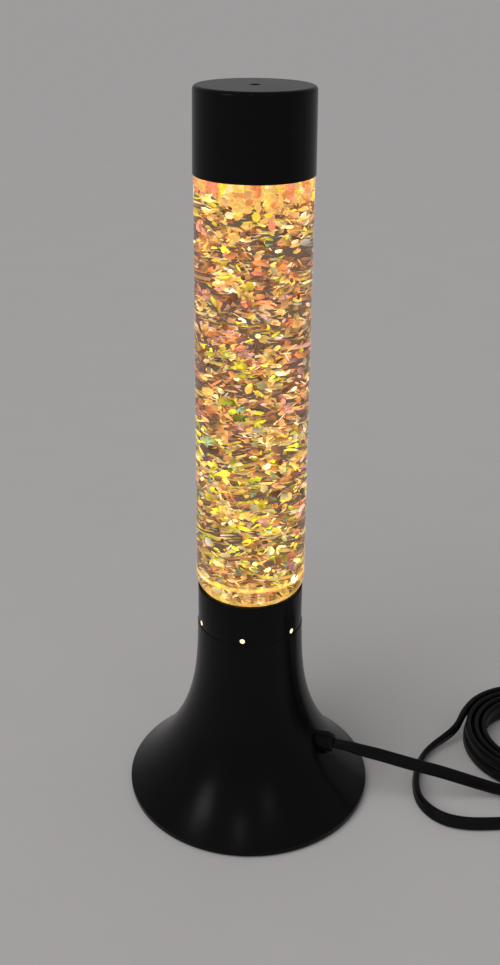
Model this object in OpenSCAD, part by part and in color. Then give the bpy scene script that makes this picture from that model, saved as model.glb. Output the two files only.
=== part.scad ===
// Glitter lamp. A clear bottle of liquid and foil flakes stands in a flared base that hides a small
// reflector bulb. A cap lifts off the bottle, and a flat twin cord with a switch and a plug feeds the bulb.
// Millimetres. +Z is up, the table is z = 0, the lamp's axis is the Z axis, and -Y is the front.

/* [Base] */
// Height of the whole lamp, from the table to the cap's top
lamp_h = 349.8; // [320:0.2:400]
// Diameter over the rim of the base
base_d = 121.6; // [114:0.2:130]
// Height of the neck's top edge above the table
neck_top = 95.2; // [91:0.2:105]
// Diameter of the neck at its top edge
neck_d = 51.2; // [50:0.1:54]
// Straight height of the rim's lip
lip_h = 2.6; // [1.6:0.1:4]
// How much wider the neck grows by its own draft, before the flare
neck_draft = 1.2; // [0.6:0.1:2]
// How late the flare turns out: larger keeps the neck slim for longer
flare_power = 2.95; // [2.6:0.05:3.3]
// Wall of the base shell
base_wall = 2; // [1.6:0.1:2.4]
// Height of the rim above the table
foot_gap = 0.8; // [0.5:0.1:1.5]
// Height of the bottom plate's underside above the rim's edge
plate_rise = 2.6; // [2.4:0.1:3.4]
// Thickness of the bottom plate
plate_t = 2; // [1.6:0.1:2.6]
// Gap around the bottom plate
plate_gap = 0.6; // [0.4:0.1:1.2]
// Radius of a rubber foot
foot_r = 5; // [4:0.2:6]
// Distance of the feet from the axis
foot_ring = 46; // [44:0.5:47]
// Radius of a screw boss inside the base
boss_r = 3.6; // [3:0.1:4.4]
// Distance of the screw bosses from the axis
boss_ring = 40; // [37:0.5:42]
// Radius of the vents in the bottom plate
plate_vent_r = 2; // [1:0.1:2.6]
// Distance of the plate's vents from the axis
plate_vent_ring = 16; // [14:0.5:17]

/* [Collar] */
// How far the collar stands back from the neck
collar_step = 0.3; // [0.1:0.05:0.6]
// Wall of the collar
collar_wall = 1.9; // [1.6:0.1:2.2]
// Length of the sleeve that goes down into the neck
sleeve_h = 11; // [8:0.5:14]
// Height of the bottle's seat above the neck's top edge
seat_rise = 9.8; // [8.5:0.1:12]
// Depth of the pocket that takes the bottle
seat_depth = 10; // [8:0.1:14]
// Thickness of the ledge that the bottle sits on
ledge_t = 2.2; // [1.6:0.1:2.8]
// Radius of a vent hole in the collar
vent_r = 1.2; // [0.8:0.1:1.5]
// Height of the vent holes above the neck's top edge
vent_rise = 1.8; // [1.7:0.1:4]
// Number of vent holes
vent_count = 6; // [4:1:8]

/* [Bottle] */
// Diameter of the bottle
bottle_d = 52; // [51:0.1:56]
// Height of the rounded heel
heel_h = 7; // [5:0.1:10]
// Wall of the bottle
glass_t = 1.8; // [1.2:0.1:2.4]
// Thickness of the bottle's floor
floor_t = 3; // [2:0.1:5]
// Radius of the bottle's mouth
mouth_r = 14; // [12:0.2:16]
// Length of the neck above the shoulder
mouth_h = 11; // [9:0.2:11.6]
// Wall of the closure and thickness of its top
closure_t = 1.4; // [1.2:0.1:1.6]
// Length of the closure's skirt
closure_h = 10; // [8:0.2:10.4]
// Thickness of the seal under the closure
seal_t = 1; // [0.6:0.1:1.4]
// Height of the liquid above the cap's lower edge
fill_rise = 8; // [2:0.5:11]
// Number of glitter flakes
flake_count = 150; // [60:1:160]
// Radius of a glitter flake
flake_r = 1.7; // [1:0.1:1.8]
// Thickness of a glitter flake
flake_t = 0.3; // [0.2:0.05:0.5]

/* [Cap] */
// Diameter of the cap at its lower edge
cap_d = 52.8; // [51.6:0.1:56]
// Height of the cap
cap_h = 36.6; // [36:0.2:50]
// Wall of the cap
cap_wall = 1.8; // [1.4:0.1:2.2]
// Rounding of the cap's top edge
cap_round = 1.8; // [0.8:0.1:3]
// How much narrower the cap's radius is at the top
cap_draft = 0.3; // [0:0.1:0.8]
// Radius of the hole in the cap's top
cap_hole_r = 2.1; // [1:0.1:4]

/* [Bulb and holder] */
// Diameter of the reflector bulb
bulb_d = 39; // [36:0.5:40]
// Length of the bulb from its tip to its face
bulb_len = 66; // [64:0.5:68]
// Free height over the bulb, into which it unscrews
bulb_head_gap = 9; // [7.5:0.1:10]
// Radius over the thread of the bulb's screw cap
thread_r = 6.95; // [6.8:0.05:7]
// Length of the bulb's screw cap
thread_len = 20; // [17:0.5:22]
// Wall of the bulb's glass
bulb_wall = 0.8; // [0.6:0.1:1]
// Outer radius of the lamp holder
holder_r = 13; // [12.6:0.1:14]
// Depth of the holder above the bulb's tip
holder_depth = 22; // [20:0.5:24]
// Thickness of the holder's floor
holder_floor = 6; // [5.6:0.1:7]
// Radius of the threaded nipple under the holder
nipple_r = 5; // [4.6:0.1:5.4]
// Length of the nipple
nipple_len = 13; // [12:0.5:14]
// Width of the bracket's strap
strap_w = 14; // [12:0.5:15]
// Thickness of the bracket's strap
strap_t = 1.5; // [1.2:0.1:2]
// Distance between the outsides of the bracket's legs
bracket_span = 44; // [42:0.5:48]
// Length of each of the bracket's feet
bracket_foot = 9; // [8:0.5:10]

/* [Screws] */
// Radius of the screws' shanks
screw_r = 1.4; // [1.2:0.05:1.5]
// Radius of the screws' heads
head_r = 2.7; // [2.4:0.1:2.9]
// Height of the screws' heads
head_h = 1.7; // [1.2:0.1:1.9]

/* [Cord, switch and plug] */
// Width of the flat cord
cord_w = 6.2; // [5.6:0.1:6.2]
// Thickness of the flat cord
cord_t = 3.2; // [2.8:0.1:3.2]
// Height of the cord gland above the table
gland_z = 30.5; // [29:0.5:33]
// Radius of the gland's hood on the base
hood_r = 5.5; // [5.4:0.1:6]
// Radius of the strain relief in the hood
relief_r = 4; // [3.8:0.05:4.1]
// Length of the strain relief inside the hood's face
relief_in = 17.5; // [14:0.5:18]
// Length of the switch's case
case_l = 56; // [54:0.5:58]
// Width of the switch's case
case_w = 22; // [20:0.5:24]
// Height of the switch's case
case_h = 15; // [15:0.1:17]
// Wall of the switch's case
case_wall = 1.8; // [1.5:0.1:2]
// Length of the rocker
rocker_l = 18; // [16:0.2:20]
// Width of the rocker
rocker_w = 9; // [8:0.2:11]
// How far the rocker tips to each side
rocker_tip = 9.5; // [7:0.5:10]
// Radius of the rocker's pin
pin_r = 1.2; // [1:0.05:1.4]
// Distance between the plug's pins
pin_pitch = 18.6; // [18:0.1:19]
// Radius of the plug's pins
plug_pin_r = 2; // [1.9:0.05:2.4]
// Length of the plug's pins
plug_pin_len = 19; // [18:0.5:20]
// Length of the sleeves on the plug's pins
sleeve_len = 10; // [8:0.5:11]

/* [Hidden] */
$fn = 64;
// Clearances: still fits, the moving fits and the overshoot of a cut
still_fit = 0.05;
lift_fit = 0.35;
run_fit = 0.05;
cut = 1;
// Colours
gloss_black = [0.05, 0.05, 0.055];
cord_black = [0.09, 0.09, 0.09];
steel = [0.72, 0.73, 0.75];
brass = [0.80, 0.63, 0.30];
clear_glass = [0.92, 0.95, 0.93, 0.3];
off_white = [0.90, 0.88, 0.82];

// Base levels and radii
rim_r = base_d / 2;
neck_r = neck_d / 2;
lip_top = foot_gap + lip_h;
plate_z = foot_gap + plate_rise;
plate_top = plate_z + plate_t;
neck_round = 0.6;
boss_depth = 10;
boss_turn = 42;
foot_turn = -3;
foot_count = 4;
boss_count = 3;
pilot_r = screw_r + run_fit;
screw_play = 1;

// Radius of the flared outside at height z
function flare_u(z) = (neck_top - z) / (neck_top - lip_top);
function flare_r(z) =
    neck_r + neck_draft * flare_u(z) + (rim_r - neck_r - neck_draft) * pow(flare_u(z), flare_power);
// Change of that radius with height
function flare_slope(z) =
    -(neck_draft + (rim_r - neck_r - neck_draft) * flare_power * pow(flare_u(z), flare_power - 1))
    / (neck_top - lip_top);
// Point of the inner wall, one wall in along the normal at height z
function wall_point(z) =
    let (k = sqrt(1 + pow(flare_slope(z), 2)))
    [flare_r(z) - base_wall / k, z + base_wall * flare_slope(z) / k];
// Heights along the flare, closer together where it turns out
flare_steps = 26;
flare_h = neck_top - neck_round - lip_top;
flare_zs = [for (i = [0:flare_steps]) lip_top + flare_h * pow(i / flare_steps, 1.6)];
// Arc of an ellipse about a point, from angle a to angle b
function arc(x, z, rx, rz, a, b, n) =
    [for (i = [0:n]) let (t = a + (b - a) * i / n) [x + rx * cos(t), z + rz * sin(t)]];

// Collar levels and radii
collar_r = neck_r - collar_step;
sleeve_r = neck_r - base_wall - still_fit;
sleeve_bore = sleeve_r - collar_wall;
pocket_r = collar_r - collar_wall;
seat_z = neck_top + seat_rise;
collar_top = seat_z + seat_depth;
collar_flange = 1.4;
collar_round = 0.8;
bulb_pass = 0.9;
ledge_r = bulb_d / 2 + bulb_pass;
// The first vent hole is 8 degrees to the left of the front
vent_turn = -98;

// Bottle levels and radii
bottle_r = bottle_d / 2;
spigot_r = pocket_r - lift_fit;
heel_gap = 0.4;
heel_z = collar_top + heel_gap;
cap_z = lamp_h - cap_h;
cap_r = cap_d / 2;
cap_bore = cap_r - cap_wall;
top_r = cap_bore - lift_fit;
top_h = 12;
shoulder_h = 8;
shoulder_z = cap_z + top_h;
mouth_z = shoulder_z + shoulder_h + mouth_h;
mouth_wall = 2;
bottle_round = 1;
spigot_round = 2;
closure_bore = mouth_r + still_fit;

// Outside of the bottle from its floor to its mouth
bottle_outside = concat(
    [[0, seat_z]],
    arc(spigot_r - spigot_round, seat_z + spigot_round, spigot_round, spigot_round, -90, 0, 6),
    arc(spigot_r, heel_z + heel_h, bottle_r - spigot_r, heel_h, -90, 0, 12),
    arc(bottle_r - bottle_round, cap_z - bottle_round, bottle_round, bottle_round, 0, 90, 5),
    [[top_r, cap_z], [top_r, shoulder_z]],
    arc(mouth_r, shoulder_z, top_r - mouth_r, shoulder_h, 10, 80, 7),
    [[mouth_r, shoulder_z + shoulder_h], [mouth_r, mouth_z]]
);
// Straight part of the bottle's inside, a small gap in from the glass, up to height z
function bottle_inside(gap, z) =
    let (
        floor_z = seat_z + floor_t + gap,
        low_r = spigot_r - glass_t - gap,
        body_r = bottle_r - glass_t - gap,
        high_r = top_r - glass_t - gap
    )
    concat(
        [[0, floor_z]],
        arc(low_r - spigot_round, floor_z + spigot_round, spigot_round, spigot_round, -90, 0, 6),
        arc(low_r, heel_z + heel_h, body_r - low_r, heel_h - glass_t - gap, -90, 0, 12),
        [[body_r, cap_z - 2 * glass_t - gap], [high_r, cap_z - glass_t - gap], [high_r, z]]
    );
bottle_top_inside = concat(
    arc(
        mouth_r - mouth_wall, shoulder_z, top_r - glass_t - mouth_r + mouth_wall,
        shoulder_h - glass_t, 10, 80, 7
    ),
    [[mouth_r - mouth_wall, shoulder_z + shoulder_h - glass_t], [mouth_r - mouth_wall, mouth_z]]
);
fill_z = cap_z + fill_rise;

// Bulb and holder levels, from the bottle's seat down
bulb_top = seat_z - bulb_head_gap;
tip_z = bulb_top - bulb_len;
tip_h = 1.2;
tip_r = 2.2;
insulator_h = 3;
thread_z = tip_z + tip_h + insulator_h;
thread_top = thread_z + thread_len;
thread_wall = 1.35;
thread_bore = thread_r - thread_wall;
thread_pitch = 2.82;
thread_depth = 0.45;
thread_turns = 4;
bulb_neck_r = thread_r;
bulb_r = bulb_d / 2;
thread_fit = 0.2;
shell_bore = thread_r + thread_fit;
shell_t = 0.5;
shell_r = shell_bore + shell_t;
holder_bore = shell_r + still_fit;
contact_h = 2.2;
holder_inside = tip_z - contact_h;
holder_z = holder_inside - holder_floor;
holder_top = tip_z + holder_depth;
shell_rise = 1;
shell_recess = 2;
shell_z = tip_z + shell_rise;
shell_len = holder_top - shell_z - shell_recess;
nipple_in = 4;
nipple_wall = 1.4;
nut_h = 4;
nut_r = 8.1;
strap_z = holder_z - strap_t;
wire_r = 1.1;
wire_fit = 0.3;
wire_hole_r = wire_r + wire_fit;
wire_z = holder_z + holder_floor / 2;
wire_side = 5;
wire_hole_depth = 4;
terminal_r = 1.3;

// Gland on the base's right flank, turned a little to the front
gland_turn = -18;
hood_stand = 0.5;
hood_face = flare_r(gland_z - hood_r) + hood_stand;
relief_flange_r = 4.8;
relief_flange_t = 1.6;
relief_step = 0.4;
relief_end_r = 3.8;
relief_out = 2.6;
relief_tip = hood_face + relief_out;

// Cord: the coil lies on its tie and winds inwards on the table, climbs and winds out again on top
tie_t = 0.8;
tie_w = 8;
tie_turn = 20;
tie_gap = 0.5;
coil_x = 153.5;
coil_y = 21;
coil_r = 39;
tie_play = 0.1;
coil_z = tie_t + tie_play + cord_w / 2;
coil_turn_gap = 0.8;
coil_layer_gap = 0.6;
coil_pitch = cord_t + coil_turn_gap;
coil_climb = cord_w + coil_layer_gap;
coil_start = -90;
coil_sweep = 2402;
coil_step = 15;
coil_rings = ceil(coil_sweep / coil_step);
climb_half = 90;
coil_in = coil_r - coil_pitch * coil_sweep / 720;
// Radius, height and point of the coil's middle line, a degrees along it
function coil_radius(a) = coil_in + coil_pitch * abs(a - coil_sweep / 2) / 360;
function ease(t) = t * t * (3 - 2 * t);
function coil_height(a) =
    coil_z + coil_climb * ease(min(1, max(0, (a - coil_sweep / 2 + climb_half) / (2 * climb_half))));
function coil_point(a) = [
    coil_x + coil_radius(a) * cos(coil_start + a),
    coil_y + coil_radius(a) * sin(coil_start + a),
    coil_height(a),
    90
];
// The coil's ends run on straight for one cord width
function coil_heading(a) = [-sin(coil_start + a), cos(coil_start + a), 0, 0];
coil_route = concat(
    [coil_point(0) - cord_w * coil_heading(0)],
    [for (i = [0:coil_rings]) coil_point(coil_sweep * i / coil_rings)],
    [coil_point(coil_sweep) + cord_w * coil_heading(coil_sweep)]
);
// Switch and plug stand where the cord's ends lie
switch_x = 195;
switch_y = -38;
nose_l = 4;
nose_r = 4.4;
case_edge = 2.5;
case_split = 7;
plug_x = 252;
plug_y = -12;
plug_z = 7;
plug_relief_len = 22;
plug_relief_step = 1.5;
sleeve_t = 0.45;
sleeve_sink = 0.25;
pin_point = 1;
plug_body_len = 30;
plug_body_w = 35.3;
plug_body_t = 13.7;
plug_face = plug_y + plug_relief_len + plug_body_len;
switch_in = [switch_x - case_l / 2 - nose_l, switch_y, case_split, 90];
switch_out = [switch_x + case_l / 2 + nose_l, switch_y, case_split, 90];
plug_in = [plug_x, plug_y, plug_z, 90];
gland_out = [relief_tip * cos(gland_turn), relief_tip * sin(gland_turn), gland_z, 180];

// Routes of the free stretches: place of the middle line, and how far the flat cord is rolled on edge
lead_route = concat(
    [gland_out],
    [
        [50, -16.2, 30.3, 172], [56, -17.8, 29.4, 158], [66, -19.2, 27.4, 140], [76, -19.7, 24.4, 128],
        [86, -19.7, 21.2, 120], [97, -19.2, 17.4, 114], [107, -18.5, 13.3, 108], [118, -17.8, 8.8, 101],
        [128, -17.6, 5.4, 94], [138, -17.9, 4.1, 90]
    ],
    [coil_route[0]]
);
tail_route = concat(
    [coil_route[len(coil_route) - 1]],
    [
        [113.3, 28.6, 9.8, 92], [109.6, 24.6, 8.3, 96], [104.6, 21.4, 6.3, 104], [98.6, 17.6, 4.5, 112],
        [93, 11.6, 3.3, 114], [88.8, 2, 3.2, 108], [86, -10, 3.2, 100], [86.2, -22, 3.2, 100],
        [90.6, -31, 3.2, 110], [97.6, -36.8, 3.2, 120], [107, -39.4, 3.2, 122], [118, -39.6, 3.2, 116],
        [130, -38.8, 3.3, 104], [142, -38.2, 3.8, 94], [152, -38, 5.6, 90], [158, -38, 6.8, 90]
    ],
    [switch_in]
);
plug_route = concat(
    [switch_out],
    [
        [233, -38, 6.6, 90], [239, -36.4, 5, 90], [244.5, -32.6, 3.9, 90], [249, -27, 4.2, 90],
        [251.4, -21, 6, 90], [252, -16, 7, 90]
    ],
    [plug_in]
);

// Corners of the flat cord's section: 8 corners with flat sides, or 6 with a corner on each narrow side
function cord_corner(k, sides) =
    sides == 6
    ? [cord_w / 2 * cos(60 * k), cord_t / 2 * sin(60 * k) / sin(60)]
    : [cord_w / 2 * cos(45 * k + 22.5) / cos(22.5), cord_t / 2 * sin(45 * k + 22.5) / cos(22.5)];
function place(p) = [p[0], p[1], p[2]];
function unit(v) = v / norm(v);
// Direction of a route at point i
function heading(route, i) =
    unit(place(route[min(len(route) - 1, i + 1)]) - place(route[max(0, i - 1)]));
// Corners of the flat cord's ring at point i of a route
function cord_ring(route, i, sides) =
    let (
        ahead = heading(route, i),
        side = unit(cross(ahead, [0, 0, 1])),
        over = cross(side, ahead),
        roll = route[i][3],
        wide = cos(roll) * side + sin(roll) * over,
        thin = cross(ahead, wide)
    )
    [
        for (k = [0:sides - 1])
        let (c = cord_corner(k, sides)) place(route[i]) + c[0] * wide + c[1] * thin
    ];
// Direction that no wire follows, from which a wire's ring takes its sides
near_upright = [0.02, 0.05, 1];
// Corners of a round wire's ring at point i of a route
function wire_ring(route, i, sides, r) =
    let (
        ahead = heading(route, i),
        side = unit(cross(ahead, near_upright)),
        over = cross(side, ahead)
    )
    [
        for (k = [0:sides - 1])
        place(route[i]) + r * cos(360 * k / sides) * side + r * sin(360 * k / sides) * over
    ];

// Closed tube through rings of corners, all of triangles
module tube(rings) {
    n = len(rings[0]);
    last = len(rings) - 1;
    polyhedron(
        points = [for (ring = rings) each ring],
        faces = concat(
            [for (k = [1:n - 2]) [0, k, k + 1]],
            [
                for (i = [0:last - 1], k = [0:n - 1])
                each [
                    [i * n + k, (i + 1) * n + k, (i + 1) * n + (k + 1) % n],
                    [i * n + k, (i + 1) * n + (k + 1) % n, i * n + (k + 1) % n]
                ]
            ],
            [for (k = [1:n - 2]) [last * n, last * n + k + 1, last * n + k]]
        ),
        convexity = 8
    );
}

module flat_cord(route, sides = 8) {
    tube([for (i = [0:len(route) - 1]) cord_ring(route, i, sides)]);
}

// Screw with its head's underside at z = 0 and its shank downwards
module screw(length) {
    cylinder(r = head_r, h = head_h);
    translate([0, 0, -length]) cylinder(r = screw_r, h = length + cut / 2);
}

module around(count, turn, ring) {
    for (i = [0:count - 1]) rotate(turn + 360 * i / count) translate([ring, 0, 0]) children();
}

// Base

module base_outside() {
    rotate_extrude()
    polygon(concat(
        [[0, foot_gap], [rim_r, foot_gap]],
        [for (z = flare_zs) [flare_r(z), z]],
        arc(flare_r(neck_top) - neck_round, neck_top - neck_round, neck_round, neck_round, 15, 90, 4),
        [[0, neck_top]]
    ));
}

module base_inside() {
    lip_bore = rim_r - base_wall;
    wall = [for (z = flare_zs) let (p = wall_point(z)) if (p[0] < lip_bore) p];
    rotate_extrude()
    polygon(concat(
        [[0, foot_gap - cut], [lip_bore, foot_gap - cut], [lip_bore, wall[0][1]]],
        wall,
        [[neck_r - base_wall, neck_top], [neck_r - base_wall, neck_top + cut], [0, neck_top + cut]]
    ));
}

module along_gland(from, to, r1, r2) {
    rotate(gland_turn)
    translate([from, 0, gland_z])
    rotate([0, 90, 0])
    cylinder(r1 = r1, r2 = r2, h = to - from);
}

module base_shell() {
    color(gloss_black)
    difference() {
        union() {
            base_outside();
            along_gland(hood_face - relief_in, hood_face, hood_r, hood_r);
        }
        difference() {
            base_inside();
            around(boss_count, boss_turn, boss_ring)
            translate([0, 0, plate_top]) cylinder(r = boss_r, h = neck_top);
        }
        around(boss_count, boss_turn, boss_ring)
        translate([0, 0, plate_top - cut]) cylinder(r = pilot_r, h = boss_depth + cut);
        along_gland(hood_face - relief_in - cut, hood_face + cut, relief_r + still_fit, relief_r + still_fit);
    }
}

plate_vent_count = 8;
plate_r = flare_r(plate_top + base_wall) - base_wall - plate_gap;
bracket_hole = bracket_span / 2 + bracket_foot / 2;

module bottom_plate() {
    color(cord_black)
    difference() {
        translate([0, 0, plate_z]) cylinder(r = plate_r, h = plate_t);
        around(boss_count, boss_turn, boss_ring)
        translate([0, 0, plate_z - cut]) cylinder(r = pilot_r, h = plate_t + 2 * cut);
        around(2, gland_turn + 90, bracket_hole)
        translate([0, 0, plate_z - cut]) cylinder(r = pilot_r, h = plate_t + 2 * cut);
        around(plate_vent_count, gland_turn + 180 / plate_vent_count, plate_vent_ring)
        translate([0, 0, plate_z - cut]) cylinder(r = plate_vent_r, h = plate_t + 2 * cut);
    }
}

module plate_screws() {
    color(steel)
    around(boss_count, boss_turn, boss_ring)
    translate([0, 0, plate_z]) mirror([0, 0, 1]) screw(plate_t + boss_depth - screw_play);
}

module rubber_feet() {
    color([0.12, 0.12, 0.12])
    around(foot_count, foot_turn, foot_ring) cylinder(r = foot_r, h = plate_z);
}

module collar() {
    color(gloss_black)
    difference() {
        rotate_extrude()
        polygon(concat(
            [[sleeve_bore, neck_top - sleeve_h], [sleeve_r, neck_top - sleeve_h], [sleeve_r, neck_top]],
            [[collar_r, neck_top]],
            arc(collar_r - collar_round, collar_top - collar_round, collar_round, collar_round, 0, 90, 5),
            [[pocket_r, collar_top], [pocket_r, seat_z], [ledge_r, seat_z], [ledge_r, seat_z - ledge_t]],
            [[pocket_r, seat_z - ledge_t], [pocket_r, neck_top + collar_flange]],
            [[sleeve_bore, neck_top + collar_flange]]
        ));
        for (i = [0:vent_count - 1])
            rotate(vent_turn + 360 * i / vent_count)
            translate([ledge_r, 0, neck_top + vent_rise])
            rotate([0, 90, 0])
            cylinder(r = vent_r, h = collar_r - ledge_r + cut);
    }
}

// Lamp holder

module holder_bracket() {
    leg_h = strap_z + strap_t - plate_top;
    color(steel)
    rotate(gland_turn + 90)
    difference() {
        union() {
            translate([-bracket_span / 2, -strap_w / 2, strap_z]) cube([bracket_span, strap_w, strap_t]);
            for (side = [0, 1])
                mirror([side, 0, 0]) {
                    translate([bracket_span / 2 - strap_t, -strap_w / 2, plate_top])
                    cube([strap_t, strap_w, leg_h]);
                    translate([bracket_span / 2 - strap_t, -strap_w / 2, plate_top])
                    cube([bracket_foot + strap_t, strap_w, strap_t]);
                }
        }
        translate([0, 0, strap_z - cut]) cylinder(r = nipple_r + still_fit, h = strap_t + 2 * cut);
        around(2, 0, bracket_hole)
        translate([0, 0, plate_top - cut]) cylinder(r = pilot_r, h = strap_t + 2 * cut);
    }
}

module bracket_screws() {
    color(steel)
    around(2, gland_turn + 90, bracket_hole)
    translate([0, 0, plate_top + strap_t]) screw(strap_t + plate_t + screw_play);
}

module threaded_nipple() {
    nipple_top = holder_z + nipple_in;
    color(steel)
    difference() {
        translate([0, 0, nipple_top - nipple_len]) cylinder(r = nipple_r, h = nipple_len);
        translate([0, 0, nipple_top - nipple_len - cut])
        cylinder(r = nipple_r - nipple_wall, h = nipple_len + 2 * cut);
    }
}

module lock_nut() {
    color(steel)
    translate([0, 0, strap_z - nut_h])
    difference() {
        cylinder(r = nut_r, h = nut_h, $fn = 6);
        translate([0, 0, -cut]) cylinder(r = nipple_r + still_fit, h = nut_h + 2 * cut);
    }
}

module wire_holes(from, r) {
    for (side = [-1, 1])
        rotate(gland_turn)
        translate([from, side * wire_side, wire_z])
        rotate([0, 90, 0])
        cylinder(r = r, h = holder_r);
}

wire_hole_from = holder_r - wire_hole_depth - 1;
terminal_ring = wire_hole_from + 2;

module lamp_holder() {
    color(off_white)
    difference() {
        translate([0, 0, holder_z]) cylinder(r = holder_r, h = holder_top - holder_z);
        translate([0, 0, shell_z]) cylinder(r = holder_bore, h = holder_top - shell_z + cut);
        translate([0, 0, holder_inside]) cylinder(r = thread_r - wire_fit, h = shell_z - holder_inside + cut);
        translate([0, 0, holder_z - cut]) cylinder(r = nipple_r + still_fit, h = nipple_in + cut);
        wire_holes(wire_hole_from, wire_hole_r);
        for (side = [-1, 1])
            rotate(gland_turn)
            translate([terminal_ring, side * wire_side, holder_z - cut])
            cylinder(r = terminal_r + run_fit, h = wire_z - holder_z + cut);
    }
}

module screw_shell() {
    color(brass)
    translate([0, 0, shell_z])
    difference() {
        cylinder(r = shell_r, h = shell_len);
        translate([0, 0, -cut]) cylinder(r = shell_bore, h = shell_len + 2 * cut);
    }
}

module centre_contact() {
    leaf_t = 0.8;
    leaf_r = 5;
    color(brass)
    translate([0, 0, holder_inside]) {
        cylinder(r = leaf_r, h = leaf_t);
        cylinder(r = tip_r, h = contact_h - still_fit);
    }
}

module terminal_screws() {
    color(brass)
    for (side = [-1, 1])
        rotate(gland_turn)
        translate([terminal_ring, side * wire_side, holder_z])
        cylinder(r = terminal_r, h = wire_z - wire_r - run_fit - holder_z);
}

// Wire from the strain relief to a terminal, on the left or right side of the gland's line
module supply_wire(side) {
    start = hood_face - relief_in;
    route = [
        [start, side * 1.6, gland_z], [start - 2.5, side * 1.6, gland_z],
        [start - 5.5, side * 2.8, gland_z - 2], [start - 8, side * 4.2, wire_z + 1.2],
        [start - 10.5, side * wire_side, wire_z], [holder_r, side * wire_side, wire_z],
        [wire_hole_from + 0.4, side * wire_side, wire_z]
    ];
    rotate(gland_turn) tube([for (i = [0:len(route) - 1]) wire_ring(route, i, 8, wire_r)]);
}

module live_wire() {
    color([0.45, 0.28, 0.16]) supply_wire(-1);
}

module neutral_wire() {
    color([0.20, 0.35, 0.65]) supply_wire(1);
}

// Bulb

module bulb_tip() {
    color(steel) translate([0, 0, tip_z]) cylinder(r = tip_r, h = tip_h);
}

module bulb_insulator() {
    low_r = tip_r + 0.6;
    high_r = thread_r - 0.8;
    color([0.12, 0.12, 0.13])
    translate([0, 0, tip_z + tip_h]) cylinder(r1 = low_r, r2 = high_r, h = insulator_h);
}

module bulb_screw_cap() {
    root = thread_r - thread_depth;
    first = thread_z + 1;
    crest_from = 0.35;
    crest_to = 0.6;
    rim_h = 2;
    color([0.78, 0.78, 0.76])
    rotate_extrude()
    polygon(concat(
        [[thread_bore, thread_z], [root, thread_z], [root, first]],
        [
            for (i = [0:thread_turns - 1])
            each [
                [root, first + i * thread_pitch],
                [thread_r, first + (i + crest_from) * thread_pitch],
                [thread_r, first + (i + crest_to) * thread_pitch]
            ]
        ],
        [[root, first + thread_turns * thread_pitch], [root, thread_top - rim_h]],
        [[thread_r, thread_top], [thread_bore, thread_top]]
    ));
}

// Curve of the reflector from its neck to its widest ring
bulb_steps = 12;
face_steps = 5;
face_edge = 5;
face_h = 11;
face_bulge = 1.6;
function bulb_side(inset) =
    let (
        neck_p = [bulb_neck_r - inset, thread_top],
        neck_q = [bulb_neck_r + 1 - inset, thread_top + 9],
        wide_q = [bulb_r - inset, bulb_top - face_h - 15],
        wide_p = [bulb_r - inset, bulb_top - face_h]
    )
    [
        for (i = [0:bulb_steps])
        let (t = i / bulb_steps, s = 1 - t)
        s * s * s * neck_p + 3 * s * s * t * neck_q + 3 * s * t * t * wide_q + t * t * t * wide_p
    ];
function bulb_face(inset) =
    arc(
        bulb_r - face_edge, bulb_top - face_h, face_edge - inset, face_edge + 1 - inset, 10, 60, face_steps
    );

module bulb_glass() {
    color(clear_glass)
    rotate_extrude()
    polygon(concat(
        bulb_side(0), bulb_face(0), [[bulb_r / 2, bulb_top - face_bulge], [0, bulb_top]],
        [[0, bulb_top - bulb_wall], [bulb_r / 2, bulb_top - face_bulge - bulb_wall]],
        [for (i = [face_steps:-1:0]) bulb_face(bulb_wall)[i]],
        [for (i = [bulb_steps:-1:0]) bulb_side(bulb_wall)[i]]
    ));
}

stem_top = thread_top + 16;
filament_r = 7;
filament_z = stem_top + 7;
filament_wire = 0.5;

module bulb_stem() {
    disc_t = 2.5;
    color(clear_glass)
    translate([0, 0, thread_top - disc_t]) {
        cylinder(r = thread_bore - still_fit, h = disc_t);
        cylinder(r1 = 3.2, r2 = 2, h = stem_top - thread_top + disc_t);
    }
}

// One wire: up from the stem, round an open ring and back down
module bulb_filament() {
    open_half = 20;
    ring_steps = 20;
    foot_x = 1;
    foot_y = 0.8;
    route = concat(
        [[foot_x, foot_y, stem_top], [foot_x, foot_y, stem_top + 2]],
        [
            for (i = [0:ring_steps])
            let (a = open_half + (360 - 2 * open_half) * i / ring_steps)
            [filament_r * cos(a), filament_r * sin(a), filament_z]
        ],
        [[foot_x, -foot_y, stem_top + 2], [foot_x, -foot_y, stem_top]]
    );
    color([0.35, 0.35, 0.36]) tube([for (i = [0:len(route) - 1]) wire_ring(route, i, 6, filament_wire)]);
}

// Bottle

module bottle() {
    top = concat(bottle_inside(0, shoulder_z), bottle_top_inside);
    color(clear_glass)
    rotate_extrude()
    polygon(concat(bottle_outside, [for (i = [len(top) - 1:-1:0]) top[i]]));
}

module glitter_liquid() {
    color([0.98, 0.85, 0.60, 0.3])
    rotate_extrude()
    polygon(concat(bottle_inside(still_fit, fill_z), [[0, fill_z]]));
}

// Flakes spread by two sequences that never repeat: one turns each flake on, the other sets its distance
module glitter_flakes() {
    golden_turn = 137.508;
    spread = 0.754878;
    tilt_x = 37;
    tilt_y = 61;
    flake_low = heel_z + heel_h;
    flake_high = cap_z - 2 * glass_t - flake_r;
    flake_ring = bottle_r - glass_t - flake_r - 1;
    color([0.95, 0.72, 0.38])
    for (i = [0:flake_count - 1])
        rotate(golden_turn * i)
        translate([
            flake_ring * sqrt(spread * i - floor(spread * i)),
            0,
            flake_low + (flake_high - flake_low) * (i + 0.5) / flake_count
        ])
        rotate([tilt_x * i, tilt_y * i, 0])
        translate([0, 0, -flake_t / 2])
        cylinder(r = flake_r, h = flake_t, $fn = 6);
}

module closure_seal() {
    color([0.82, 0.82, 0.80])
    translate([0, 0, mouth_z]) cylinder(r = mouth_r, h = seal_t);
}

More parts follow.
